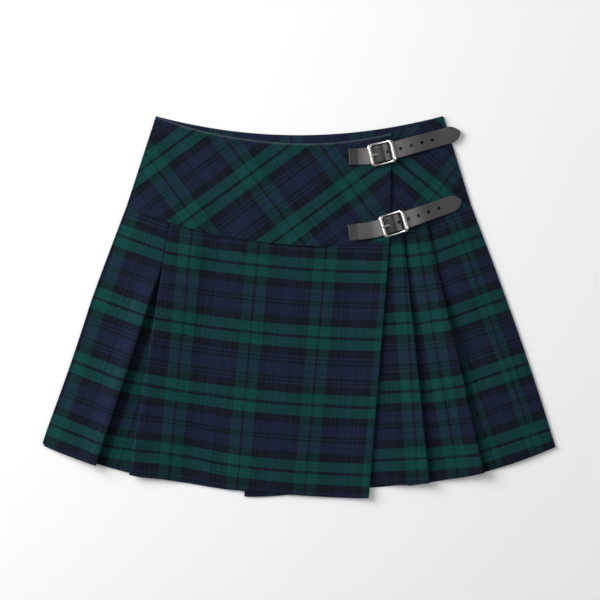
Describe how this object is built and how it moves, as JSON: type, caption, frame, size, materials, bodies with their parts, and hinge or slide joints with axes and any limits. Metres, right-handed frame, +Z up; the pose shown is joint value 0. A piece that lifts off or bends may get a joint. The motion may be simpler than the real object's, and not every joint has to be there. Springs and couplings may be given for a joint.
{
  "type": "pleated wrap skirt",
  "caption": "Short tartan wrap skirt laid flat, with a bias-cut yoke, an inverted pleat on one side, knife pleats on the other, and two leather straps with buckles.",
  "frame": {"origin": "on the surface that the skirt lies on, under the middle of its outline", "axes": "+Z up off the surface; +Y towards the waist; +X towards the side with the straps"},
  "size_m": [0.59, 0.4388, 0.0161],
  "materials": {
    "tartan": "soft twill wool with a slight nap, in navy, dark green and black",
    "leather": "black, smooth, satin",
    "nickel": "polished nickel plate"
  },
  "bodies": {
    "root": {"back_panel": "tartan", "back_yoke": "tartan", "back_facing": "tartan", "pleated_front": "tartan", "under_yoke": "tartan", "front_apron": "tartan", "front_yoke": "tartan", "strap_upper": "leather", "strap_lower": "leather", "buckle_tab_upper": "leather", "buckle_tab_lower": "leather", "buckle_frame_upper": "nickel", "buckle_frame_lower": "nickel", "buckle_prong_upper": "nickel", "buckle_prong_lower": "nickel"}
  },
  "joints": []
}
